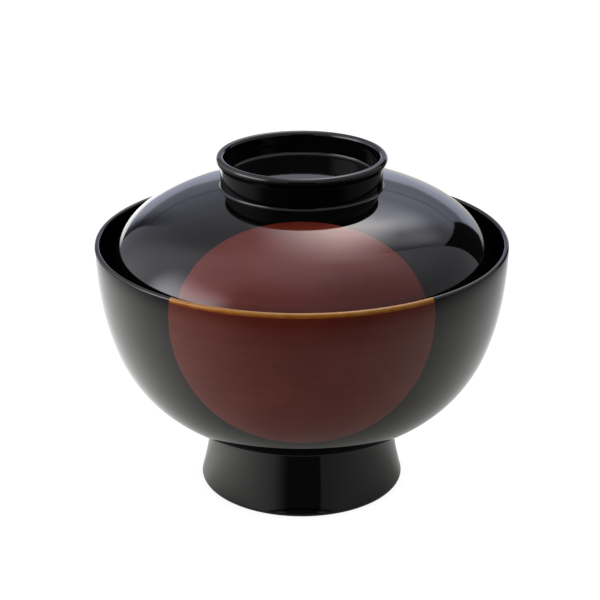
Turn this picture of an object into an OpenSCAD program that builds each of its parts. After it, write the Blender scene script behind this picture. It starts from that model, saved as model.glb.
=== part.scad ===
// Lidded lacquer soup and rice bowl. Turned wooden cores carry black lacquer coats, a large
// red-brown disc that runs over lid and bowl, and an amber-gold lip where the disc crosses it.
// Origin: centre of the foot's sole, +Z up, front (the disc) towards -Y. Millimetres.

/* [Bowl] */
// Greatest diameter of the bowl, at its lip
bowl_d = 125; // [124:0.5:126]
// Height of the lip's crest above the table
bowl_h = 79.2; // [78.5:0.1:80]
// Thickness of the bowl's wall
wall_t = 1.6; // [1.5:0.1:1.8]
// Radius of the outline just under the lip
upper_r = 115; // [105:1:125]
// Turn of the outline over the upper stretch, in degrees
upper_a = 8; // [6:0.5:9]
// Radius of the outline half way up
middle_r = 75; // [70:1:80]
// Turn of the outline from the lip to the end of the middle stretch, in degrees
middle_a = 20; // [18:0.5:22]
// Radius of the belly
belly_r = 43.2; // [42:0.1:44.5]
// Radius of the belly inside the bowl
inner_belly_r = 38; // [36:0.5:39]
// Turn of the inner outline from the lip to the dished floor, in degrees
floor_a = 80; // [76:1:83]

/* [Foot] */
// Radius of the foot's flare
flare_r = 100; // [90:1:110]
// Diameter the flare would narrow to
waist_d = 56.4; // [54:0.1:57]
// Height at which the flare would be narrowest
waist_h = 27; // [25:0.5:29]
// Diameter of the recess under the foot, at the sole
recess_d = 55.7; // [53:0.1:56]
// Depth of the recess
recess_h = 15.5; // [13:0.5:16]
// Sideways step of the recess wall for each millimetre up
recess_slope = 0.17; // [0.1:0.01:0.2]

/* [Lid] */
// Thickness of the lid
lid_t = 2.2; // [2:0.1:2.4]
// Radius of the lid's crown
crown_r = 132.7; // [130:0.1:136]
// Height of the crown above the table, with the lid on
crown_h = 97.85; // [97.6:0.05:98]
// Angle from upright at the end of the crown, in degrees
crown_a = 14.8; // [14.7:0.05:14.9]
// Radius of the lid's shoulder
shoulder_r = 49.8; // [49.5:0.1:50]
// Angle from upright at the end of the shoulder, in degrees
shoulder_a = 30.4; // [30.2:0.1:30.5]
// Radius of the turn into the skirt
turn_r = 26.9; // [26.8:0.1:27]
// Angle from upright of the straight skirt, in degrees
skirt_a = 65.4; // [65.2:0.1:65.6]
// Gap between the lid's edge and the bowl's wall
seat_gap = 0.05; // [0.03:0.01:0.1]

/* [Grip ring] */
// Diameter of the grip ring's wall
ring_d = 48.6; // [48:0.1:50]
// Height of the grip ring's rolled lip above the table
ring_h = 105.25; // [104.5:0.05:106]
// Radius of the rolled lip's bead
bead_r = 1.25; // [1.1:0.05:1.35]
// Height of the floor inside the grip ring
well_h = 98.2; // [98:0.1:99]
// Sideways step of the well's wall for each millimetre up
well_slope = 0.12; // [0.08:0.01:0.4]

/* [Lacquer] */
// Thickness of a lacquer coat
coat_t = 0.35; // [0.25:0.05:0.4]
// Thickness of the coloured films laid into the coat
film_t = 0.12; // [0.1:0.01:0.15]
// Radius of the red-brown disc
disc_r = 38.8; // [30:0.1:40]
// Height of the disc's centre
disc_h = 71.8; // [70:0.1:74]
// Drop of the gold below the centre of the lip's rounding
gold_drop = 0.5; // [0.3:0.1:2]

/* [Hidden] */
$fn = 180;
// Longer than any part of the bowl, for half planes
far = 90;
// The disc's centre lies this far in front of the axis
disc_y = -61.8;
// Where two round faces run smoothly into each other, one bites this far into the other, and
// helper shapes reach this deep under them, so that faces cross instead of only touching
bite = 0.004;
root = 2;

lacquer_black = "#100e10";
disc_red = "#5c2b25";
gold_amber = "#b97b2e";
wood = "#b08455";

// Points on an outline, as [radius, height]
function out(a) = [cos(a), -sin(a)];
function up(a) = [sin(a), cos(a)];

// Bowl: centres of the outline's arcs, from the lip down
lip_z = bowl_h - wall_t / 2;
lip_r = bowl_d / 2 - wall_t / 2;
upper_c = [bowl_d / 2 - upper_r, lip_z];
middle_c = upper_c + (upper_r - middle_r) * out(upper_a);
belly_c = middle_c + (middle_r - belly_r) * out(middle_a);
inner_belly_c = middle_c + (middle_r - wall_t - inner_belly_r) * out(middle_a);
floor_start = inner_belly_c + inner_belly_r * out(floor_a);
floor_r = floor_start[0] / cos(floor_a);
floor_c = [0, floor_start[1] + floor_r * sin(floor_a) + bite];

// Foot: centre of the flare, the sole's two rounded edges and the fillet under the belly
flare_c = [waist_d / 2 + flare_r, waist_h];
sole_r = 1;
sole_in_r = 0.8;
sole_c = [flare_c[0] - sqrt(pow(flare_r + sole_r - bite, 2) - pow(waist_h - sole_r, 2)), sole_r];
recess_k = sqrt(1 + recess_slope * recess_slope);
sole_in_c = [cut(recess_d / 2 - recess_slope * sole_in_r + sole_in_r * recess_k - bite), sole_in_r];
recess_fillet = 3;
fillet_z = recess_h - recess_fillet;
recess_fillet_c = [cut(recess_d / 2 - recess_slope * fillet_z - recess_fillet * recess_k + bite), fillet_z];
foot_top = 24;
foot_top_r = 38;
split_z = 17.5;
under_fillet = 1.5;

// Lid: centres of the outline's arcs, from the crown out
crown_c = [0, crown_h - crown_r];
shoulder_c = crown_c + (crown_r - shoulder_r) * up(crown_a);
turn_c = shoulder_c + (shoulder_r - turn_r) * up(shoulder_a);
skirt_dir = [cos(skirt_a), -sin(skirt_a)];
skirt_top = turn_c + turn_r * up(skirt_a);
// Along the skirt, the edge's rounding grows wider until it meets the bowl's inner wall
edge_r = lid_t / 2;
function edge_c(s) = skirt_top - edge_r * up(skirt_a) + s * skirt_dir;
function wall_at(z) = upper_c[0] + sqrt(pow(upper_r - wall_t, 2) - pow(z - lip_z, 2));
function gap_at(s) = wall_at(edge_c(s)[1]) - edge_c(s)[0] - edge_r;
function seat(low, high, n) = n == 0 ? low : let (mid = (low + high) / 2)
    gap_at(mid) > seat_gap ? seat(mid, high, n - 1) : seat(low, mid, n - 1);
skirt_len = cut(seat(2, 12, 30));
dome_base = 60;

// Grip ring
ring_r = ring_d / 2;
bead_c = [ring_r + 0.05, ring_h - bead_r];
well_k = sqrt(1 + well_slope * well_slope);
well_fillet = 1;
well_fillet_z = well_h + well_fillet;
well_fillet_c = [cut(bead_c[0] - (bead_r + well_fillet - 2 * bite) * well_k
    + well_slope * (well_fillet_z - bead_c[1])), well_fillet_z];
ring_fillet = 0.8;
ring_fillet_r = ring_r + ring_fillet;
ring_fillet_c = [ring_fillet_r,
    cut(crown_c[1] + sqrt(pow(crown_r + ring_fillet - bite, 2) - pow(ring_fillet_r, 2)))];
// The well is cut this far past the top of the ring
well_open = 3;

// Where two circles round p and q meet, on the side towards the axis and below
function meet(p, rp, q, rq) =
    let (v = q - p, d = norm(v), x = (d * d + rp * rp - rq * rq) / (2 * d), y = sqrt(rp * rp - x * x))
    p + x * v / d + y * [v[1], -v[0]] / d;
under_c = meet(belly_c, belly_r + under_fillet - bite, flare_c, flare_r - under_fillet + bite);

// Heights of cuts are kept to a micrometre, so that neighbouring slices share one edge
function cut(z) = round(z * 1000) / 1000;

// Moves in two steps, a coarse one and a fine one, so that the place keeps all its digits
module at(p) {
    coarse = [cut(p[0]), cut(p[1])];
    translate(coarse) translate(p - coarse) children();
}

module disc_at(c, r) at(c) circle(r);

// One slice of an outline: the part of a circle between two heights, filled to the axis
module slice(c, r, low, high) {
    intersection() {
        disc_at(c, r);
        translate([0, low]) square([far, high - low]);
    }
    if (c[0] > 0) translate([0, low]) square([cut(c[0]), high - low]);
}

module above(z) translate([0, z]) square([far, far]);
module below(z) translate([0, z - far]) square([far, far]);

// Everything inside the bowl's outer wall, set in by d
module bowl_shape(d) {
    upper_end = cut(upper_c[1] - (upper_r - d) * sin(upper_a));
    middle_end = cut(middle_c[1] - (middle_r - d) * sin(middle_a));
    slice(upper_c, upper_r - d, upper_end, lip_z);
    slice(middle_c, middle_r - d, middle_end, upper_end);
    slice(belly_c, belly_r - d, 0, middle_end);
}

// The space inside the bowl, with d of the wall added to it
module cavity(d) {
    upper_end = cut(upper_c[1] - (upper_r - wall_t + d) * sin(upper_a));
    middle_end = cut(middle_c[1] - (middle_r - wall_t + d) * sin(middle_a));
    belly_end = cut(inner_belly_c[1] - (inner_belly_r + d) * sin(floor_a));
    belly_low = cut(belly_end - bite * inner_belly_r);
    slice(upper_c, upper_r - wall_t + d, upper_end, lip_z);
    slice(middle_c, middle_r - wall_t + d, middle_end, upper_end);
    slice(inner_belly_c, inner_belly_r + d, belly_low, middle_end);
    slice(floor_c, floor_r + d, 0, belly_end);
}

// The foot's outside, set in by d, filled to the axis
module foot_shape(d) {
    sole_top = cut(sole_r + (sole_r - d) * (waist_h - sole_r) / (flare_r + sole_r));
    difference() {
        translate([0, sole_top]) square([foot_top_r, foot_top - sole_top]);
        disc_at(flare_c, flare_r + d);
    }
    translate([0, d]) square([sole_c[0], sole_top - d]);
    disc_at(sole_c, sole_r - d);
}

// The fillet between foot and belly, set in by d
module under_shape(d) {
    to_belly = belly_c + (belly_r - root) * (under_c - belly_c) / norm(under_c - belly_c);
    to_flare = flare_c + (flare_r + root) * (under_c - flare_c) / norm(under_c - flare_c);
    difference() {
        polygon([[0, to_flare[1]], to_flare, under_c, to_belly, [0, to_belly[1]]]);
        disc_at(under_c, under_fillet + d);
    }
}

// The space under the foot, with d of the foot added to it
module recess(d) {
    edge = recess_d / 2 + d * recess_k;
    touch_z = fillet_z + (recess_fillet + d) * recess_slope / recess_k;
    in_z = cut(sole_in_r - (sole_in_r - d) * recess_slope / recess_k);
    polygon([[0, 0], [edge, 0], [edge - recess_slope * touch_z, touch_z], recess_fillet_c,
             [recess_fillet_c[0], recess_h + d], [0, recess_h + d]]);
    disc_at(recess_fillet_c, recess_fillet + d);
    difference() {
        square([sole_in_c[0], in_z]);
        disc_at(sole_in_c, sole_in_r - d);
    }
}

// Bowl and foot without the space inside the bowl, set in by d
module bowl_solid(d)
    difference() {
        union() {
            bowl_shape(d);
            foot_shape(d);
            under_shape(d);
        }
        recess(d);
    }

// Local frame of the straight skirt: x square to it and outwards, y along it towards the crown
module along_skirt() at(turn_c) rotate(90 - skirt_a) children();

// Everything under the dome's outer face, set in by d; the skirt runs on past its square end
module dome(d) {
    crown_end = cut(crown_c[1] + (crown_r - d) * cos(crown_a));
    shoulder_end = cut(shoulder_c[1] + (shoulder_r - d) * cos(shoulder_a));
    turn_end = cut(turn_c[1] + (turn_r - d) * cos(skirt_a));
    slice(crown_c, crown_r - d, crown_end, crown_h);
    slice(shoulder_c, shoulder_r - d, shoulder_end, crown_end);
    slice(turn_c, turn_r - d, turn_end, shoulder_end);
    intersection() {
        along_skirt() translate([-far, -far]) square([far + turn_r - d, 2 * far]);
        translate([0, dome_base]) square([far, turn_end - dome_base]);
    }
}

// The half plane past the skirt's square end
module past_skirt() along_skirt() translate([-far, -far - skirt_len]) square([2 * far, far]);

// The rounded edge of the skirt, set in by d
module edge(d)
    intersection() {
        along_skirt() translate([turn_r - edge_r, -skirt_len]) circle(edge_r - d);
        past_skirt();
    }

// The well inside the grip ring, with d of the ring added to it
module well(d) {
    edge = bead_c[0] - (bead_r - d - bite) * well_k;
    touch_z = well_fillet_c[1] - (well_fillet + d) * well_slope / well_k;
    polygon([[0, well_h - d], [well_fillet_c[0], well_h - d], well_fillet_c,
             [edge + well_slope * (touch_z - bead_c[1]), touch_z],
             [edge + well_slope * well_open, bead_c[1] + well_open], [0, bead_c[1] + well_open]]);
    disc_at(well_fillet_c, well_fillet + d);
}

// The grip ring, set in by d, filled to the axis, with its foot's fillet
module ring(d) {
    touch = bead_c + (bead_r - d) * [-1, well_slope] / well_k;
    foot = crown_c + (crown_r - root) * (ring_fillet_c - crown_c) / norm(ring_fillet_c - crown_c);
    difference() {
        polygon([[0, foot[1]], foot, ring_fillet_c, [ring_r - d, ring_fillet_c[1]],
                 [ring_r - d, bead_c[1]], bead_c, touch, [0, touch[1]]]);
        disc_at(ring_fillet_c, ring_fillet + d);
        well(d);
    }
    disc_at(bead_c, bead_r - d);
}

// The lid without the space under it, set in by d
module lid_solid(d)
    difference() {
        union() {
            dome(d);
            ring(d);
        }
        well(d);
    }

// The region of space that the round disc is painted over
module disc_zone() translate([0, disc_y, disc_h]) sphere(disc_r);

module bowl_core() color(wood) rotate_extrude() {
    difference() {
        bowl_solid(coat_t);
        cavity(coat_t);
    }
    intersection() {
        disc_at([lip_r, lip_z], wall_t / 2 - coat_t);
        above(lip_z);
    }
}

module bowl_outer_lacquer() color(lacquer_black) difference() {
    rotate_extrude() {
        intersection() {
            difference() {
                bowl_solid(0);
                bowl_solid(coat_t);
            }
            above(split_z);
        }
        intersection() {
            difference() {
                disc_at([lip_r, lip_z], wall_t / 2);
                disc_at([lip_r, lip_z], wall_t / 2 - coat_t);
            }
            above(lip_z);
        }
    }
    bowl_disc();
    lip_gold();
}

module bowl_foot_lacquer() color(lacquer_black) rotate_extrude()
    intersection() {
        difference() {
            bowl_solid(0);
            bowl_solid(coat_t);
        }
        below(split_z);
    }

module bowl_inner_lacquer() color(lacquer_black) rotate_extrude()
    difference() {
        cavity(coat_t);
        cavity(0);
    }

module bowl_disc() color(disc_red) intersection() {
    rotate_extrude() intersection() {
        difference() {
            bowl_shape(0);
            bowl_shape(film_t);
        }
        below(lip_z - gold_drop);
    }
    disc_zone();
}

module lip_gold() color(gold_amber) intersection() {
    rotate_extrude() {
        intersection() {
            difference() {
                bowl_shape(0);
                bowl_shape(film_t);
            }
            above(lip_z - gold_drop);
        }
        intersection() {
            difference() {
                disc_at([lip_r, lip_z], wall_t / 2);
                disc_at([lip_r, lip_z], wall_t / 2 - film_t);
            }
            above(lip_z);
        }
    }
    disc_zone();
}

module lid_core() color(wood) rotate_extrude() {
    difference() {
        lid_solid(coat_t);
        dome(lid_t - coat_t);
        past_skirt();
    }
    edge(coat_t);
}

module lid_outer_lacquer() color(lacquer_black) difference() {
    rotate_extrude() {
        difference() {
            lid_solid(0);
            lid_solid(coat_t);
            past_skirt();
        }
        difference() {
            edge(0);
            edge(coat_t);
        }
    }
    lid_disc();
}

module lid_inner_lacquer() color(lacquer_black) rotate_extrude()
    difference() {
        dome(lid_t - coat_t);
        dome(lid_t);
        past_skirt();
    }

module lid_disc() color(disc_red) intersection() {
    rotate_extrude() difference() {
        dome(0);
        dome(film_t);
        past_skirt();
    }
    disc_zone();
}

bowl_core();
bowl_outer_lacquer();
bowl_foot_lacquer();
bowl_inner_lacquer();
bowl_disc();
lip_gold();
lid_core();
lid_outer_lacquer();
lid_inner_lacquer();
lid_disc();
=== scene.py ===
"""Lidded black lacquer rice bowl with a red-brown disc and an amber-gold lip.

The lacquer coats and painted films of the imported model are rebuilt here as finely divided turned
surfaces with exact normals, because polished lacquer shows every facet. They follow the model's
own outlines. Outlines are in millimetres, as [radius, height]; meshes are in metres.
"""

import math

import bpy
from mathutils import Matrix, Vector


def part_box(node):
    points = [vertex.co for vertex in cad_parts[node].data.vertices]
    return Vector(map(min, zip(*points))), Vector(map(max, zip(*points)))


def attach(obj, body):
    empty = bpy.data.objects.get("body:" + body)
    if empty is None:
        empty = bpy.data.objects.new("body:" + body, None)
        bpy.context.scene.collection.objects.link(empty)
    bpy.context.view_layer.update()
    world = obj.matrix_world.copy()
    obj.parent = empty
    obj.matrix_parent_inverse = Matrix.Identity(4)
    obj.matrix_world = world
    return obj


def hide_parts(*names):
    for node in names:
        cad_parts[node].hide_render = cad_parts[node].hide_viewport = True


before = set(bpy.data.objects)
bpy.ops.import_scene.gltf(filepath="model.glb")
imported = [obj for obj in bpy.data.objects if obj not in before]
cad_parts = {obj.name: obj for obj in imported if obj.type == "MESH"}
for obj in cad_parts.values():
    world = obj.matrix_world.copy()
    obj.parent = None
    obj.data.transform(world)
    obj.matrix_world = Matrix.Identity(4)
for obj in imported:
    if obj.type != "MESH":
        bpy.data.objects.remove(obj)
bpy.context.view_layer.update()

MM = 0.001


# ---------------------------------------------------------------- outlines

def at_angle(degrees):
    """Unit vector from the axis direction: 0 points up, 90 points outwards."""
    a = math.radians(degrees)
    return Vector((math.sin(a), math.cos(a)))


class Arc:
    """Part of a circle, from one angle to another (0 is up, 90 is outwards, in degrees).
    A hollow arc's surface looks towards its centre."""

    def __init__(self, centre, radius, start, end, hollow=False):
        self.centre, self.radius = Vector(centre), radius
        self.start, self.end = start, end
        self.side = -1 if hollow else 1
        self.length = radius * math.radians(abs(end - start))

    def at(self, t):
        n = at_angle(self.start + (self.end - self.start) * t)
        return self.centre + self.radius * n, self.side * n

    def steps(self):
        turn = abs(self.end - self.start)
        return max(2, math.ceil(max(turn / ARC_STEP, self.length / LONGEST_STEP)))


class Line:
    """A straight stretch between two points; its surface looks to the left of the way along it."""

    def __init__(self, a, b):
        self.a, self.b = Vector(a), Vector(b)
        self.length = (self.b - self.a).length

    def at(self, t):
        d = (self.b - self.a).normalized()
        return self.a.lerp(self.b, t), Vector((-d.y, d.x))

    def steps(self):
        return max(1, math.ceil(self.length / LONGEST_STEP))


ARC_STEP = 2.5       # degrees of outline between rows on tight rounds
LONGEST_STEP = 1.1   # millimetres between rows elsewhere


class Outline:
    """Arcs and lines laid end to end; at(s) is the point and normal at s millimetres along it."""

    def __init__(self, *parts):
        self.parts = parts
        self.starts = [0.0]
        for part in parts:
            self.starts.append(self.starts[-1] + part.length)
        self.length = self.starts[-1]

    def at(self, s):
        i = 0
        while i < len(self.parts) - 1 and s > self.starts[i + 1]:
            i += 1
        t = (s - self.starts[i]) / self.parts[i].length
        return self.parts[i].at(min(max(t, 0.0), 1.0))

    def rows(self):
        """Distances along the outline at which the mesh has a row."""
        found = [0.0]
        for part, start in zip(self.parts, self.starts):
            n = part.steps()
            found += [start + part.length * k / n for k in range(1, n + 1)]
        return found

    def first(self, test, low, high):
        """Distance at which test(point) turns true, between low, where it is false, and high."""
        for _ in range(50):
            mid = (low + high) / 2
            if test(self.at(mid)[0]):
                high = mid
            else:
                low = mid
        return high


def between(p, rp, q, rq):
    """Where circles round p and q meet, on the side to the right of the way from p to q."""
    v = q - p
    d = v.length
    x = (d * d + rp * rp - rq * rq) / (2 * d)
    y = math.sqrt(rp * rp - x * x)
    return p + v * (x / d) + Vector((v.y, -v.x)) * (y / d)


def angle_of(v):
    """Angle of a vector, in degrees: 0 is up, 90 is outwards."""
    return math.degrees(math.atan2(v.x, v.y))


# Walls of the bowl and the lid, coats and films
WALL = 1.6
LID_WALL = 2.2
COAT = 0.35
FILM = 0.12

# Bowl: the outline's arcs from the lip down, and the turn reached at the end of each, in degrees
BOWL_R = round(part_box("bowl_outer_lacquer")[1].x / MM, 1)
LIP_Z = round(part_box("bowl_outer_lacquer")[1].z / MM, 1) - WALL / 2
SPLIT_Z = round(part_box("bowl_foot_lacquer")[1].z / MM, 1)
UPPER_R, UPPER_TURN = 115, 8
MIDDLE_R, MIDDLE_TURN = 75, 20
BELLY_R = 43.2
IN_BELLY_R, FLOOR_TURN = 38, 80
UPPER_C = Vector((BOWL_R - UPPER_R, LIP_Z))
MIDDLE_C = UPPER_C + (UPPER_R - MIDDLE_R) * at_angle(90 + UPPER_TURN)
BELLY_C = MIDDLE_C + (MIDDLE_R - BELLY_R) * at_angle(90 + MIDDLE_TURN)
IN_BELLY_C = MIDDLE_C + (MIDDLE_R - WALL - IN_BELLY_R) * at_angle(90 + MIDDLE_TURN)
FLOOR_START = IN_BELLY_C + IN_BELLY_R * at_angle(90 + FLOOR_TURN)
FLOOR_R = FLOOR_START.x / math.cos(math.radians(FLOOR_TURN))
FLOOR_C = Vector((0, FLOOR_START.y + FLOOR_R * math.sin(math.radians(FLOOR_TURN))))
LIP_C = Vector((BOWL_R - WALL / 2, LIP_Z))

# Foot: a hollow flare, its rounded sole and the recess under it
FLARE_R, WAIST_R, WAIST_Z = 100, 28.2, 27
FLARE_C = Vector((WAIST_R + FLARE_R, WAIST_Z))
UNDER_R = 1.5
UNDER_C = between(BELLY_C, BELLY_R + UNDER_R, FLARE_C, FLARE_R - UNDER_R)
SOLE_R, SOLE_IN_R = 1.0, 0.8
SOLE_C = Vector((FLARE_C.x - math.sqrt((FLARE_R + SOLE_R) ** 2 - (WAIST_Z - SOLE_R) ** 2), SOLE_R))
RECESS_R, RECESS_Z, RECESS_SLOPE, RECESS_ROUND = 27.85, 15.5, 0.17, 3
RECESS_LEAN = math.degrees(math.atan(RECESS_SLOPE))
RECESS_K = math.hypot(1, RECESS_SLOPE)
SOLE_IN_C = Vector((RECESS_R - RECESS_SLOPE * SOLE_IN_R + SOLE_IN_R * RECESS_K, SOLE_IN_R))
RECESS_C = Vector((RECESS_R - RECESS_SLOPE * (RECESS_Z - RECESS_ROUND) - RECESS_ROUND * RECESS_K,
                   RECESS_Z - RECESS_ROUND))

# Lid: the dome's arcs from the crown out, and the turn reached at the end of each
CROWN_R, CROWN_Z, CROWN_TURN = 132.7, 97.85, 14.8
SHOULDER_R, SHOULDER_TURN = 49.8, 30.4
TURN_R, SKIRT_TURN = 26.9, 65.4
CROWN_C = Vector((0, CROWN_Z - CROWN_R))
SHOULDER_C = CROWN_C + (CROWN_R - SHOULDER_R) * at_angle(CROWN_TURN)
TURN_C = SHOULDER_C + (SHOULDER_R - TURN_R) * at_angle(SHOULDER_TURN)
EDGE_R = LID_WALL / 2
SKIRT_DOWN = at_angle(SKIRT_TURN + 90)
LID_LOW = round(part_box("lid_outer_lacquer")[0].z / MM, 3)
# The skirt runs on until its rounded edge reaches the lid's lowest point
EDGE_C = TURN_C + (TURN_R - EDGE_R) * at_angle(SKIRT_TURN)
SKIRT_LENGTH = (EDGE_C.y - EDGE_R - LID_LOW) / -SKIRT_DOWN.y
EDGE_C = EDGE_C + SKIRT_LENGTH * SKIRT_DOWN

# Grip ring: a well inside, a rolled bead and a straight wall that meets the dome in a small fillet
RING_R = 24.3
BEAD_R = 1.25
BEAD_C = Vector((RING_R + 0.05, round(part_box("lid_outer_lacquer")[1].z / MM, 2) - BEAD_R))
WELL_Z, WELL_SLOPE, WELL_ROUND = 98.2, 0.12, 1.0
WELL_LEAN = math.degrees(math.atan(WELL_SLOPE))
WELL_K = math.hypot(1, WELL_SLOPE)
WELL_C = Vector((BEAD_C.x - (BEAD_R + WELL_ROUND) * WELL_K
                 + WELL_SLOPE * (WELL_Z + WELL_ROUND - BEAD_C.y), WELL_Z + WELL_ROUND))
RING_ROUND = 0.8
RING_FOOT_C = Vector((RING_R + RING_ROUND,
                      CROWN_C.y + math.sqrt((CROWN_R + RING_ROUND) ** 2 - (RING_R + RING_ROUND) ** 2)))

# The painted disc: everything within this distance of this point is red-brown or gold
DISC_R = 38.8
DISC_C = Vector((0, -61.8, 71.8))
GOLD_Z = LIP_Z - 0.5

FOOT_TURN = angle_of(UNDER_C - FLARE_C)
SPLIT_TURN = -90 - math.degrees(math.asin((WAIST_Z - SPLIT_Z) / FLARE_R))
SOLE_TURN = -90 - math.degrees(math.asin((WAIST_Z - SOLE_R) / (FLARE_R + SOLE_R)))
BEAD_OUT = 180 - math.degrees(math.asin((RING_R - BEAD_C.x) / BEAD_R))


# Each outline runs so that the surface it bounds lies to the left of the way along it

def bowl_outside():
    """From the inner edge of the lip over it and down to the joint in the coat above the foot."""
    belly_turn = angle_of(UNDER_C - BELLY_C)
    return Outline(
        Arc(LIP_C, WALL / 2, -90, 90),
        Arc(UPPER_C, UPPER_R, 90, 90 + UPPER_TURN),
        Arc(MIDDLE_C, MIDDLE_R, 90 + UPPER_TURN, 90 + MIDDLE_TURN),
        Arc(BELLY_C, BELLY_R, 90 + MIDDLE_TURN, belly_turn),
        Arc(UNDER_C, UNDER_R, belly_turn - 180, FOOT_TURN, hollow=True),
        Arc(FLARE_C, FLARE_R, FOOT_TURN, SPLIT_TURN, hollow=True))


def bowl_inside():
    """From the middle of the floor out and up to the inner edge of the lip."""
    return Outline(
        Arc(FLOOR_C, FLOOR_R, 180, 90 + FLOOR_TURN, hollow=True),
        Arc(IN_BELLY_C, IN_BELLY_R, 90 + FLOOR_TURN, 90 + MIDDLE_TURN, hollow=True),
        Arc(MIDDLE_C, MIDDLE_R - WALL, 90 + MIDDLE_TURN, 90 + UPPER_TURN, hollow=True),
        Arc(UPPER_C, UPPER_R - WALL, 90 + UPPER_TURN, 90, hollow=True))


def foot_outside():
    """From the joint in the coat down the flare, over the sole and in to the middle of the recess."""
    wall_low = SOLE_IN_C + SOLE_IN_R * at_angle(-90 - RECESS_LEAN)
    wall_top = RECESS_C + RECESS_ROUND * at_angle(90 - RECESS_LEAN)
    return Outline(
        Arc(FLARE_C, FLARE_R, SPLIT_TURN, SOLE_TURN, hollow=True),
        Arc(SOLE_C, SOLE_R, SOLE_TURN + 180, 180),
        Line((SOLE_C.x, 0), (SOLE_IN_C.x, 0)),
        Arc(SOLE_IN_C, SOLE_IN_R, 180, 270 - RECESS_LEAN),
        Line(wall_low, wall_top),
        Arc(RECESS_C, RECESS_ROUND, 90 - RECESS_LEAN, 0, hollow=True),
        Line((RECESS_C.x, RECESS_Z), (0, RECESS_Z)))


def lid_outside():
    """From the middle of the well out over the grip ring and the dome, round the skirt's edge."""
    well_low = WELL_C + WELL_ROUND * at_angle(90 + WELL_LEAN)
    well_top = BEAD_C + BEAD_R * at_angle(WELL_LEAN - 90)
    foot_turn = angle_of(RING_FOOT_C - CROWN_C)
    skirt_top = TURN_C + TURN_R * at_angle(SKIRT_TURN)
    return Outline(
        Line((0, WELL_Z), (WELL_C.x, WELL_Z)),
        Arc(WELL_C, WELL_ROUND, 180, 90 + WELL_LEAN, hollow=True),
        Line(well_low, well_top),
        Arc(BEAD_C, BEAD_R, WELL_LEAN - 90, BEAD_OUT),
        Line((RING_R, (BEAD_C + BEAD_R * at_angle(BEAD_OUT)).y), (RING_R, RING_FOOT_C.y)),
        Arc(RING_FOOT_C, RING_ROUND, -90, foot_turn - 180, hollow=True),
        Arc(CROWN_C, CROWN_R, foot_turn, CROWN_TURN),
        Arc(SHOULDER_C, SHOULDER_R, CROWN_TURN, SHOULDER_TURN),
        Arc(TURN_C, TURN_R, SHOULDER_TURN, SKIRT_TURN),
        Line(skirt_top, skirt_top + SKIRT_LENGTH * SKIRT_DOWN),
        Arc(EDGE_C, EDGE_R, SKIRT_TURN, SKIRT_TURN + 180))


def lid_inside():
    """From the inner edge of the skirt up to the middle of the dome."""
    skirt_top = TURN_C + (TURN_R - LID_WALL) * at_angle(SKIRT_TURN)
    return Outline(
        Line(skirt_top + SKIRT_LENGTH * SKIRT_DOWN, skirt_top),
        Arc(TURN_C, TURN_R - LID_WALL, SKIRT_TURN, SHOULDER_TURN, hollow=True),
        Arc(SHOULDER_C, SHOULDER_R - LID_WALL, SHOULDER_TURN, CROWN_TURN, hollow=True),
        Arc(CROWN_C, CROWN_R - LID_WALL, CROWN_TURN, 0, hollow=True))


# ---------------------------------------------------------------- turned meshes

ROUND_COLUMNS = 144     # columns round a row, outside the disc
DISC_COLUMNS = 48       # columns across the disc
CROWD = 8.0             # stretch from the disc's level edge over which rows crowd, in millimetres
CROWD_ROWS = 14


def disc_half_angle(p):
    """Half the angle that the painted disc takes up round the axis, at a point of an outline."""
    if p.x < 1e-6:
        return 0.0
    c = ((p.x ** 2 + DISC_C.y ** 2 + (p.y - DISC_C.z) ** 2 - DISC_R ** 2)
         / (2 * p.x * abs(DISC_C.y)))
    return math.acos(min(max(c, -1.0), 1.0))


def placed(p, n, angle, depth):
    """The point depth under an outline's point, turned round the axis from the front, in metres."""
    r, z = p.x - depth * n.x, p.y - depth * n.y
    return (r * math.sin(angle) * MM, -r * math.cos(angle) * MM, z * MM)


def turned(n, angle):
    return (n.x * math.sin(angle), -n.x * math.cos(angle), n.y)


class Pocket:
    """The stretch of an outline that the disc's films lie in. pole is where the disc's edge runs
    level and the pocket closes by itself; at the cut it ends square across. marks are distances
    that need a row of their own."""

    def __init__(self, outline, pole, cut, marks=()):
        self.outline, self.pole, self.cut = outline, pole, cut
        self.low, self.high = sorted((pole, cut))
        way = 1 if cut > pole else -1
        crowded = [pole + way * CROWD * (k / CROWD_ROWS) ** 2 for k in range(CROWD_ROWS + 1)]
        fixed = crowded + [cut, *marks]
        free = [s for s in outline.rows()
                if min(abs(s - f) for f in fixed) > 0.3 and not 0 < way * (s - pole) < CROWD]
        ends = [s for s in (0.0, outline.length) if min(abs(s - f) for f in fixed) > 1e-9]
        self.distances = sorted(set(free + fixed + ends))

    def half_angle(self, s):
        """Half the disc's angle; beyond the cut it stays as it is at the cut."""
        inside = min(max(s, self.low), self.high)
        return 0.0 if inside == self.pole else disc_half_angle(self.outline.at(inside)[0])

    def depths(self, s):
        """Depths of the pocket at a row: two at the cut, where it steps back to the surface."""
        if s == self.cut and 0 < s < self.outline.length:
            return [FILM, 0.0] if self.cut > self.pole else [0.0, FILM]
        inside = self.low <= s <= self.high and s != self.pole
        return [FILM if inside else 0.0]


def across(half):
    return [-half + 2 * half * k / DISC_COLUMNS for k in range(DISC_COLUMNS + 1)]


def round_back(half, columns):
    return [half + (2 * math.pi - 2 * half) * k / columns for k in range(columns + 1)]


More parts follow.
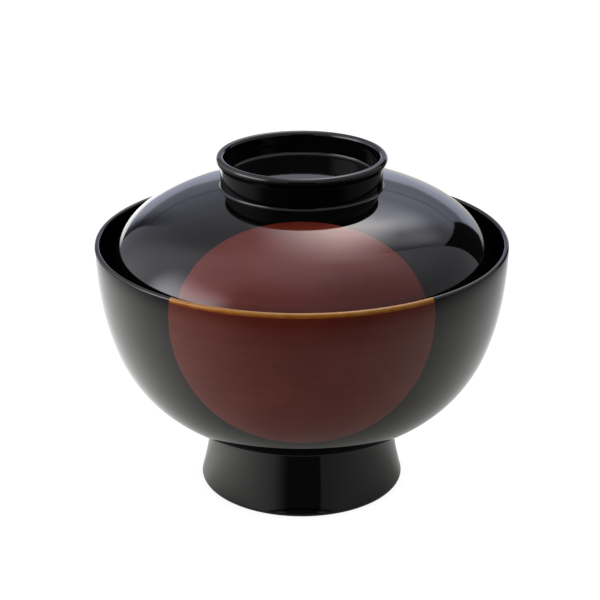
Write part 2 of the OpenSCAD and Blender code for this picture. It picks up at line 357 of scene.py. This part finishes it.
class Shell:
    """Collects the faces of a closed turned piece; points that coincide become one vertex."""

    def __init__(self):
        self.index, self.points, self.faces, self.normals = {}, [], [], []

    def vertex(self, point):
        key = tuple(round(c * 1e8) for c in point)
        if key not in self.index:
            self.index[key] = len(self.points)
            self.points.append(point)
        return self.index[key]

    def face(self, *corners):
        """Each corner is (point, normal); the normal None takes the face's own."""
        ids, normals = [], []
        for point, normal in corners:
            i = self.vertex(point)
            if i not in ids:
                ids.append(i)
                normals.append(normal)
        if len(ids) > 2:
            self.faces.append(ids)
            self.normals += normals

    def flat(self, *corners):
        self.face(*((point, None) for point, _ in corners))

    def fill(self, rings, closed, is_wall):
        """Faces between rows of (top, low) corners, and over the first and last row."""
        count = len(rings[0][0])
        last = count if closed else count - 1
        for (top, low), (next_top, next_low) in zip(rings, rings[1:]):
            for j in range(last):
                k = (j + 1) % count
                lay = self.flat if is_wall(j, top, next_top) else self.face
                lay(next_top[j], next_top[k], top[k], top[j])
                self.face(low[j], low[k], next_low[k], next_low[j])
        top, low = rings[0]
        end_top, end_low = rings[-1]
        for j in range(last):
            k = (j + 1) % count
            self.flat(top[j], top[k], low[k], low[j])
            self.flat(end_low[j], end_low[k], end_top[k], end_top[j])

    def make(self, name, material, body, node, slot):
        mesh = bpy.data.meshes.new(name)
        mesh.from_pydata(self.points, [], self.faces)
        mesh.polygons.foreach_set("use_smooth", [True] * len(mesh.polygons))
        mesh.normals_split_custom_set([self.normals[k] or tuple(polygon.normal)
                                       for polygon in mesh.polygons for k in polygon.loop_indices])
        mesh.materials.append(material)
        piece = bpy.data.objects.new(name, mesh)
        bpy.context.scene.collection.objects.link(piece)
        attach(piece, body)
        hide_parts(node)
        return piece


def row(p, n, angles, depths, thickness):
    """One row of a shell: its outer and its inner corners, each a point and a normal."""
    return ([(placed(p, n, a, d), turned(n, a)) for a, d in zip(angles, depths)],
            [(placed(p, n, a, thickness), turned(-n, a)) for a in angles])


def coat(outline, pocket=None):
    """A closed coat of lacquer under an outline, with a pocket for the disc's films."""
    shell = Shell()
    if pocket is None:
        angles = round_back(0.0, ROUND_COLUMNS + DISC_COLUMNS)[:-1]
        rings = [row(*outline.at(s), angles, [0.0] * len(angles), COAT) for s in outline.rows()]
        shell.fill(rings, True, lambda j, top, next_top: False)
        return shell
    rings = []
    for s in pocket.distances:
        half = pocket.half_angle(s)
        inside, outside = across(half), round_back(half, ROUND_COLUMNS)
        for depth in pocket.depths(s):
            rings.append(row(*outline.at(s), inside + outside,
                             [depth] * len(inside) + [0.0] * len(outside), COAT))
    sides = (DISC_COLUMNS, len(rings[0][0]) - 1)

    def is_wall(j, top, next_top):
        step = (Vector(next_top[-1][0]) - Vector(top[-1][0])).length < 1e-8
        return step or j in sides

    shell.fill(rings, True, is_wall)
    return shell


def film(outline, pocket, first, last):
    """The painted film that fills the pocket between two distances along the outline."""
    shell = Shell()
    rings = []
    for s in pocket.distances:
        if first <= s <= last:
            angles = across(pocket.half_angle(s))
            rings.append(row(*outline.at(s), angles, [0.0] * len(angles), FILM))
    shell.fill(rings, False, lambda j, top, next_top: False)
    for (top, low), (next_top, next_low) in zip(rings, rings[1:]):
        shell.flat(next_top[0], top[0], low[0], next_low[0])
        shell.flat(top[-1], next_top[-1], next_low[-1], low[-1])
    return shell


# ---------------------------------------------------------------- materials

class Nodes:
    """A node tree: add() makes a node, sets its sockets and links those that are given a socket."""

    def __init__(self, owner):
        self.owner = owner
        owner.use_nodes = True
        self.tree = owner.node_tree
        self.tree.nodes.clear()

    def add(self, kind, settings=None, **sockets):
        node = self.tree.nodes.new(kind)
        for key, value in (settings or {}).items():
            setattr(node, key, value)
        for key, value in sockets.items():
            socket = node.inputs[int(key[1:])] if key[0] == "_" else node.inputs[key.replace("_", " ")]
            if isinstance(value, bpy.types.NodeSocket):
                self.tree.links.new(value, socket)
            else:
                socket.default_value = value
        return node

    def math(self, operation, *values):
        sockets = {f"_{k}": value for k, value in enumerate(values)}
        return self.add("ShaderNodeMath", {"operation": operation}, **sockets).outputs[0]

    def ramp(self, value, low, high, to_low=0.0, to_high=1.0, kind="SMOOTHSTEP"):
        """value taken smoothly from low..high to to_low..to_high, and held beyond."""
        sockets = {"_0": value, "_1": low, "_2": high, "_3": to_low, "_4": to_high}
        return self.add("ShaderNodeMapRange", {"interpolation_type": kind}, **sockets).outputs[0]

    def finish(self, shader, output="ShaderNodeOutputMaterial"):
        self.add(output, Surface=shader.outputs[0])
        return self.owner


def material(name):
    return Nodes(bpy.data.materials.new(name))


def place(m):
    """Position on the piece, in metres, and its distance from the axis of turning."""
    at = m.add("ShaderNodeTexCoord").outputs["Object"]
    x, y, z = m.add("ShaderNodeSeparateXYZ", _0=at).outputs
    radius = m.math("SQRT", m.math("ADD", m.math("MULTIPLY", x, x), m.math("MULTIPLY", y, y)))
    return at, radius, z


def noise(m, at, scale, detail=2.0):
    return m.add("ShaderNodeTexNoise", Vector=at, Scale=scale, Detail=detail).outputs[0]


def lathe_marks(m, radius, z, scale):
    """Noise that changes across the turning, and is the same all the way round it."""
    return noise(m, m.add("ShaderNodeCombineXYZ", X=radius, Y=z).outputs[0], scale, 3.0)


def blend(m, factor, one, other):
    return m.add("ShaderNodeMix", {"data_type": "RGBA"}, _0=factor, _6=one, _7=other).outputs[2]


def bump(m, height, distance, strength=1.0):
    return m.add("ShaderNodeBump", Height=height, Distance=distance, Strength=strength).outputs[0]


LACQUER_IOR = 1.5
PEEL_DEPTH = 0.000006     # metres, of the slight unevenness of a polished coat
POWDER_DEPTH = 0.00003    # metres, of the gold powder
PORE_DEPTH = 0.00005      # metres, of the wood's pores

BLACK_DEEP = (0.0012, 0.0011, 0.0012, 1)
BLACK_WARM = (0.0022, 0.0018, 0.0016, 1)
LIP_BROWN = (0.011, 0.007, 0.0045, 1)


def black_lacquer(name, lip_low, lip_high):
    """Polished black urushi: faint lathe and polishing marks, and brown where it thins over a lip,
    between two heights in millimetres."""
    m = material(name)
    at, radius, z = place(m)
    lathe = lathe_marks(m, radius, z, 900)
    cloud = noise(m, at, 90)
    patchy = m.ramp(noise(m, at, 160), 0.3, 0.7, 0.45, 1.0)
    thin = m.math("MULTIPLY", m.ramp(z, lip_low * MM, lip_high * MM), patchy)
    colour = blend(m, thin, blend(m, cloud, BLACK_DEEP, BLACK_WARM), LIP_BROWN)
    polish = m.ramp(m.math("ADD", lathe, cloud), 0.6, 1.4, 0.018, 0.05)
    peel = m.math("ADD", m.math("MULTIPLY", noise(m, at, 210, 1.0), 0.7), m.math("MULTIPLY", lathe, 0.3))
    return m.finish(m.add("ShaderNodeBsdfPrincipled", Base_Color=colour, Roughness=polish, IOR=LACQUER_IOR,
                          Normal=bump(m, peel, PEEL_DEPTH)))


RED_DEEP = (0.120, 0.0155, 0.0085, 1)
RED_LIGHT = (0.155, 0.0245, 0.0145, 1)


def red_lacquer():
    """Red-brown urushi with fine brush streaks round the turning, under clear lacquer."""
    m = material("red_lacquer")
    at, radius, z = place(m)
    streaks = lathe_marks(m, radius, z, 420)
    cloud = noise(m, at, 70, 3.0)
    grain = noise(m, at, 2600, 1.0)
    mottle = m.math("ADD", m.math("MULTIPLY", cloud, 0.5),
                    m.math("ADD", m.math("MULTIPLY", streaks, 0.3), m.math("MULTIPLY", grain, 0.2)))
    colour = blend(m, m.ramp(mottle, 0.35, 0.65), RED_DEEP, RED_LIGHT)
    clear = bump(m, noise(m, at, 210, 1.0), PEEL_DEPTH)
    return m.finish(m.add("ShaderNodeBsdfPrincipled", Base_Color=colour, Metallic=0.3,
                          Roughness=m.ramp(grain, 0.3, 0.7, 0.36, 0.5), Specular_IOR_Level=0.0,
                          Coat_Weight=1.0, Coat_Roughness=0.03, Coat_IOR=LACQUER_IOR, Coat_Normal=clear))


# The pale gold is also a painted highlight on the lip's crest; the brown gold is painted shade at its lower
# edge
GOLD_PALE = (0.50, 0.26, 0.085, 1)
GOLD_AMBER = (0.48, 0.19, 0.016, 1)
GOLD_PAINTED_SHADE = (0.33, 0.08, 0.01, 1)


def amber_gold():
    """Gold powder under amber lacquer: a painted highlight makes it pale on the lip's crest, and painted
    shade makes it brown at its lower edge.
    """
    m = material("amber_gold")
    at, radius, z = place(m)
    powder = noise(m, at, 3200, 2.0)
    patches = noise(m, at, 420, 3.0)
    height = m.math("ADD", z, m.math("MULTIPLY_ADD", patches, 0.0012, -0.0006))
    # Painted shade towards the gold's lower edge, and a painted highlight on the lip's crest
    low = m.ramp(height, GOLD_Z * MM, (GOLD_Z + 0.8) * MM)
    crest_painted_highlight = m.ramp(height, (LIP_Z + 0.3) * MM, (LIP_Z + WALL / 2) * MM)
    colour = blend(m, low, GOLD_PAINTED_SHADE, blend(m, crest_painted_highlight, GOLD_AMBER, GOLD_PALE))
    colour = blend(m, m.ramp(powder, 0.45, 0.75, 0.0, 0.3), colour, GOLD_PALE)
    return m.finish(m.add("ShaderNodeBsdfPrincipled", Base_Color=colour, Metallic=0.3,
                          Roughness=m.ramp(powder, 0.3, 0.7, 0.4, 0.55), Specular_IOR_Level=0.0,
                          Coat_Weight=0.6, Coat_Roughness=0.12, Coat_IOR=LACQUER_IOR,
                          Normal=bump(m, powder, POWDER_DEPTH)))


WOOD_LIGHT = (0.46, 0.30, 0.17, 1)
WOOD_DARK = (0.30, 0.17, 0.085, 1)


def turned_wood():
    """Close-grained zelkova, seen only if the coats are taken away."""
    m = material("turned_wood")
    at, radius, z = place(m)
    log = m.add("ShaderNodeMapping", Vector=at, Scale=(1.0, 1.0, 0.2), Location=(0.09, 0.04, 0.0))
    rings = m.add("ShaderNodeTexWave", {"wave_type": "RINGS", "rings_direction": "Z"},
                  Vector=log.outputs[0], Scale=95, Distortion=2.2, Detail=3.0).outputs[1]
    pores = noise(m, m.add("ShaderNodeMapping", Vector=at, Scale=(1.0, 1.0, 0.08)).outputs[0], 2400, 2.0)
    figure = m.math("ADD", m.math("MULTIPLY", rings, 0.7), m.math("MULTIPLY", pores, 0.3))
    return m.finish(m.add("ShaderNodeBsdfPrincipled", Base_Color=blend(m, figure, WOOD_LIGHT, WOOD_DARK),
                          Roughness=m.ramp(pores, 0.3, 0.7, 0.5, 0.7), Normal=bump(m, pores, PORE_DEPTH)))


# ---------------------------------------------------------------- pieces

BOWL_BLACK = black_lacquer("black_lacquer_bowl", LIP_Z, LIP_Z + WALL / 2)
LID_BLACK = black_lacquer("black_lacquer_lid", BEAD_C.y, BEAD_C.y + BEAD_R)
RED, GOLD, WOOD = red_lacquer(), amber_gold(), turned_wood()

for core in ("bowl_core", "lid_core"):
    core_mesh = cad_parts[core].data
    core_mesh.materials.clear()
    core_mesh.materials.append(WOOD)

outside = bowl_outside()
gold_end = outside.first(lambda p: p.y < GOLD_Z, outside.starts[1], outside.length / 2)
disc_low = outside.first(lambda p: disc_half_angle(p) == 0.0, gold_end, outside.length * 0.9)
bowl_pocket = Pocket(outside, pole=disc_low, cut=0.0, marks=[gold_end])
coat(outside, bowl_pocket).make("bowl_outer_coat", BOWL_BLACK, "bowl", "bowl_outer_lacquer",
                                "black_lacquer")
film(outside, bowl_pocket, gold_end, disc_low).make("bowl_red_disc", RED, "bowl", "bowl_disc", "red_lacquer")
film(outside, bowl_pocket, 0.0, gold_end).make("bowl_lip_gold", GOLD, "bowl", "lip_gold", "amber_gold")
coat(foot_outside()).make("foot_coat", BOWL_BLACK, "bowl", "bowl_foot_lacquer", "black_lacquer")
coat(bowl_inside()).make("bowl_inner_coat", BOWL_BLACK, "bowl", "bowl_inner_lacquer", "black_lacquer")

# Which parts of the lid's outside are the start of the crown and the skirt's rounded edge
CROWN_PART, EDGE_PART = 6, 10

dome = lid_outside()
crown_start = dome.starts[CROWN_PART]
skirt_end = dome.starts[EDGE_PART]
disc_top = dome.first(lambda p: disc_half_angle(p) > 0.0, crown_start, skirt_end)
lid_pocket = Pocket(dome, pole=disc_top, cut=skirt_end)
coat(dome, lid_pocket).make("lid_outer_coat", LID_BLACK, "lid", "lid_outer_lacquer", "black_lacquer")
film(dome, lid_pocket, disc_top, skirt_end).make("lid_red_disc", RED, "lid", "lid_disc", "red_lacquer")
coat(lid_inside()).make("lid_inner_coat", LID_BLACK, "lid", "lid_inner_lacquer", "black_lacquer")


# ---------------------------------------------------------------- camera, floor and light

CAMERA_Y, CAMERA_Z = -0.4911, 0.2551
CAMERA_PITCH = 21.83    # degrees below the horizon
CAMERA_LENS = 103.256   # millimetres, on a 36 mm wide sensor
CAMERA_SHIFT = -0.002833   # of the picture's width

camera_data = bpy.data.cameras.new("camera")
camera_data.lens = CAMERA_LENS
camera_data.sensor_width = 36
camera_data.shift_x = CAMERA_SHIFT
camera_data.clip_start = 0.01
camera = bpy.data.objects.new("camera", camera_data)
camera.location = (0, CAMERA_Y, CAMERA_Z)
camera.rotation_euler = (math.radians(90 - CAMERA_PITCH), 0, 0)
bpy.context.scene.collection.objects.link(camera)
bpy.context.scene.camera = camera


def facing(m, x, y, azimuth):
    """Cosine between the level direction (x, y) and an azimuth: 0 is the front, 90 the right."""
    a = math.radians(azimuth)
    length = m.math("SQRT", m.math("ADD", m.math("MULTIPLY", x, x), m.math("MULTIPLY", y, y)))
    along = m.math("ADD", m.math("MULTIPLY", x, math.sin(a)), m.math("MULTIPLY", y, -math.cos(a)))
    return m.math("DIVIDE", along, m.math("MAXIMUM", length, 1e-5))


def softbox(m, direction, elevation, azimuth, half_width, soft, low, high):
    """A soft-edged bright patch of the studio: 1 inside, 0 outside. Angles are in degrees; low and
    high are the pairs of elevations over which its lower and upper edges fade."""
    cosine = facing(m, direction.outputs[0], direction.outputs[1], azimuth)
    wide = m.ramp(cosine, math.cos(math.radians(half_width + soft)),
                  math.cos(math.radians(half_width - soft)))
    rise = m.ramp(elevation, math.radians(low[0]), math.radians(low[1]))
    fall = m.ramp(elevation, math.radians(high[0]), math.radians(high[1]), 1.0, 0.0)
    return m.math("MULTIPLY", wide, m.math("MULTIPLY", rise, fall))


def panel(m, azimuth, elevation, left, right, low, high):
    """A patch of the studio whose four edges each fade between a pair of angles, in degrees."""
    sides = [tuple(map(math.radians, pair)) for pair in (left, right, low, high)]
    return m.math("MULTIPLY", window(m, azimuth, *sides[:2]), window(m, elevation, *sides[2:]))


def window(m, value, low, high):
    """1 where value lies between two soft edges, each a pair of values, and 0 outside."""
    return m.math("MULTIPLY", m.ramp(value, *low), m.ramp(value, *high, 1.0, 0.0))


AGAIN = 0.3             # strength of a reflection within a reflection
WORLD_FIRST = 2.0       # ray depth at which the world sees the first reflection
FLOOR_FIRST = 1.0       # the same for the floor


def if_seen(m, shown, mirrored):
    """The first value where the camera looks straight at it, the second in reflections and light."""
    seen = m.add("ShaderNodeLightPath").outputs["Is Camera Ray"]
    return m.add("ShaderNodeMix", {"data_type": "FLOAT"}, _0=seen, _2=mirrored, _3=shown).outputs[0]


def as_lit(m, level, share, base, first):
    """The level that reflections get. A matt surface gets it scattered more evenly, and a
    reflection within a reflection, past the ray depth of the first, is weaker."""
    path = m.add("ShaderNodeLightPath")
    spread = m.math("MULTIPLY_ADD", level, share, base)
    lit = m.add("ShaderNodeMix", {"data_type": "FLOAT"}, _0=path.outputs["Is Diffuse Ray"],
                _2=level, _3=spread).outputs[0]
    weaker = m.ramp(path.outputs["Ray Depth"], first, first + 1.0, 1.0, AGAIN, "LINEAR")
    return m.math("MULTIPLY", lit, weaker)


SKY_BLUE = (0.96, 1.0, 1.24, 1)
LAMP_WARM = (1.0, 0.93, 0.87, 1)
TENT = (1.0, 0.985, 1.07, 1)
WHITE = (1, 1, 1, 1)
BACKDROP = 1.1          # of the background, seen directly
SLANT = 0.68            # lean of the slanted flag's top edge


def studio_light():
    """What the lacquer mirrors: a light tent with a large box above and behind, another on the
    left, and dark gaps and flags. Seen directly, the background is plain white. The patches were
    placed for the camera's view, and other views show them as hard-edged shapes. Azimuths and
    elevations are in degrees; azimuth 0 is the front, 90 the right and 180 the back."""
    m = Nodes(bpy.data.worlds.new("studio"))
    direction = m.add("ShaderNodeSeparateXYZ", _0=m.add("ShaderNodeTexCoord").outputs["Generated"])
    x, y, z = direction.outputs
    elevation = m.math("ARCSINE", z)
    azimuth = m.math("ARCTAN2", x, m.math("MULTIPLY", y, -1.0))
    slanted = m.math("MULTIPLY_ADD", azimuth, SLANT, elevation)

    def box(*args):
        return softbox(m, direction, elevation, *args)

    def edged(*args):
        return panel(m, azimuth, elevation, *args)

    up = m.math("MAXIMUM", z, 0.05)
    above = m.math("MULTIPLY", window(m, m.math("DIVIDE", x, up), (-0.25, 0.2), (0.12, 0.55)),
                   window(m, m.math("DIVIDE", y, up), (0.0, 0.75), (0.9, 1.4)))
    total = m.ramp(elevation, math.radians(45), math.radians(88), 0.44, 1.2)
    for level, patch in (
            (4.9, above),
            (0.85, box(150, 6, 12, (28, 42), (48, 60))),
            (1.2, box(163, 9, 7, (24, 38), (40, 52))),
            (0.3, box(166, 14, 8, (12, 24), (50, 60))),
            (4.7, box(-74, 13, 19, (-4, 14), (15, 46))),
            (0.6, box(-90, 28, 22, (-20, -5), (45, 75))),
            (0.2, box(-112, 20, 14, (-20, -5), (35, 75))),
            (0.32, edged((60, 100), (129.6, 130.4), (22, 54), (58, 75))),
            (0.42, box(180, 28, 3, (-20, -5), (9, 11.5)))):
        total = m.math("ADD", total, m.math("MULTIPLY", patch, level))
    for depth, patch in (
            (0.88, box(0, 18, 2, (-91, -90), (22, 30))),
            (0.97, panel(m, azimuth, slanted, (130.2, 130.8), (151, 153), (50, 60), (120.2, 121.6))),
            (0.85, edged((-160, -151), (-149.3, -148.2), (-20, -8), (10, 36))),
            (0.25, box(180, 31, 0.5, (18.3, 19.3), (19.7, 20.7)))):
        total = m.math("MULTIPLY", total, m.math("SUBTRACT", 1.0, m.math("MULTIPLY", patch, depth)))
    behind = m.math("MULTIPLY", box(180, 34, 14, (-5, 2), (24, 44)), if_seen(m, 0.0, 1.0))
    colour = blend(m, behind, blend(m, above, TENT, LAMP_WARM), SKY_BLUE)
    strength = if_seen(m, BACKDROP, as_lit(m, total, 0.22, 0.17, WORLD_FIRST))
    bpy.context.scene.world = m.finish(
        m.add("ShaderNodeBackground", Color=colour, Strength=strength),
        "ShaderNodeOutputWorld")


FLOOR_SIZE = 6.0
FLOOR_Z = -0.00002   # just below the sole, so that the two don't share a plane
FLOOR_COLOUR = (1.0, 0.985, 0.955, 1)


def floor_mirrored(m, x, y, distance):
    """How bright the lacquer sees the floor, as painted light and shade: brightest on the left, darker
    close round the bowl as its painted shadow, dark far out at the front, and darkest where a low ray
    meets the gap at the front."""
    left = m.math("POWER", m.ramp(facing(m, x, y, -125), -0.45, 0.95, kind="LINEAR"), 1.4)
    right = m.math("POWER", m.ramp(facing(m, x, y, 135), -0.5, 1.0, kind="LINEAR"), 1.2)
    sides = m.math("ADD", m.math("MULTIPLY", left, 1.07), m.math("MULTIPLY", right, 0.6))
    # Painted shadow of the bowl: the floor darkens close round it
    sides = m.math("MULTIPLY", sides, m.ramp(distance, 0.02, 0.095, 0.26, 1.0))
    not_behind = m.ramp(facing(m, x, y, 180), 0.8, 0.88, 0.85, 0.0)
    edge = m.math("MULTIPLY", m.ramp(distance, 0.2, 0.27), not_behind)
    sides = m.math("MULTIPLY", sides, m.math("SUBTRACT", 1.0, edge))
    front = m.ramp(distance, 0.14, 0.24, 0.31, 0.05)
    ahead = m.ramp(facing(m, x, y, 0), 0.3, 0.7)
    far = m.math("MULTIPLY", ahead, m.ramp(distance, 0.21, 0.27))
    level = m.math("MULTIPLY", m.math("ADD", sides, front),
                   m.math("SUBTRACT", 1.0, m.math("MULTIPLY", far, 0.88)))
    azimuth = m.math("ARCTAN2", x, m.math("MULTIPLY", y, -1.0))
    gap = window(m, azimuth, (math.radians(-30), math.radians(-12)), (math.radians(17.5), math.radians(20)))
    low = m.ramp(m.add("ShaderNodeLayerWeight").outputs["Facing"], 0.62, 0.7)
    open_sides = m.ramp(azimuth, math.radians(-70), math.radians(25), 0.45, -0.25, "LINEAR")
    change = m.add("ShaderNodeMix", {"data_type": "FLOAT"}, _0=gap, _2=open_sides, _3=-0.85).outputs[0]
    return m.math("MULTIPLY", level, m.math("MULTIPLY_ADD", low, change, 1.0))


def pale_floor():
    """A plain white floor that glows. Seen directly it has a faint painted shadow round the foot; in
    reflections it shows painted light and shade. From below it is clear.
    """
    m = material("pale_floor")
    x, y, _ = m.add("ShaderNodeSeparateXYZ", _0=m.add("ShaderNodeNewGeometry").outputs["Position"]).outputs
    distance = m.math("SQRT", m.math("ADD", m.math("MULTIPLY", x, x), m.math("MULTIPLY", y, y)))
    # Painted shadow: the floor's glow is dimmed close round the foot
    painted_shadow = m.ramp(distance, 0.0295, 0.038, 0.93, 1.1)
    ahead = m.ramp(facing(m, x, y, 0), -0.8, 0.2)
    colour = blend(m, m.math("MULTIPLY", ahead, if_seen(m, 0.0, 1.0)), WHITE, FLOOR_COLOUR)
    mirrored = as_lit(m, floor_mirrored(m, x, y, distance), 0.7, 0.2, FLOOR_FIRST)
    glow = m.add("ShaderNodeEmission", Color=colour, Strength=if_seen(m, painted_shadow, mirrored))
    below = m.add("ShaderNodeNewGeometry").outputs["Backfacing"]
    clear = m.add("ShaderNodeBsdfTransparent").outputs[0]
    mesh = bpy.data.meshes.new("floor")
    h, z = FLOOR_SIZE / 2, FLOOR_Z
    mesh.from_pydata([(-h, -h, z), (h, -h, z), (h, h, z), (-h, h, z)], [], [(0, 1, 2, 3)])
    mesh.materials.append(m.finish(m.add("ShaderNodeMixShader", _0=below, _1=glow.outputs[0], _2=clear)))
    floor = bpy.data.objects.new("floor", mesh)
    bpy.context.scene.collection.objects.link(floor)


studio_light()
pale_floor()

bpy.context.scene.view_settings.view_transform = "Standard"
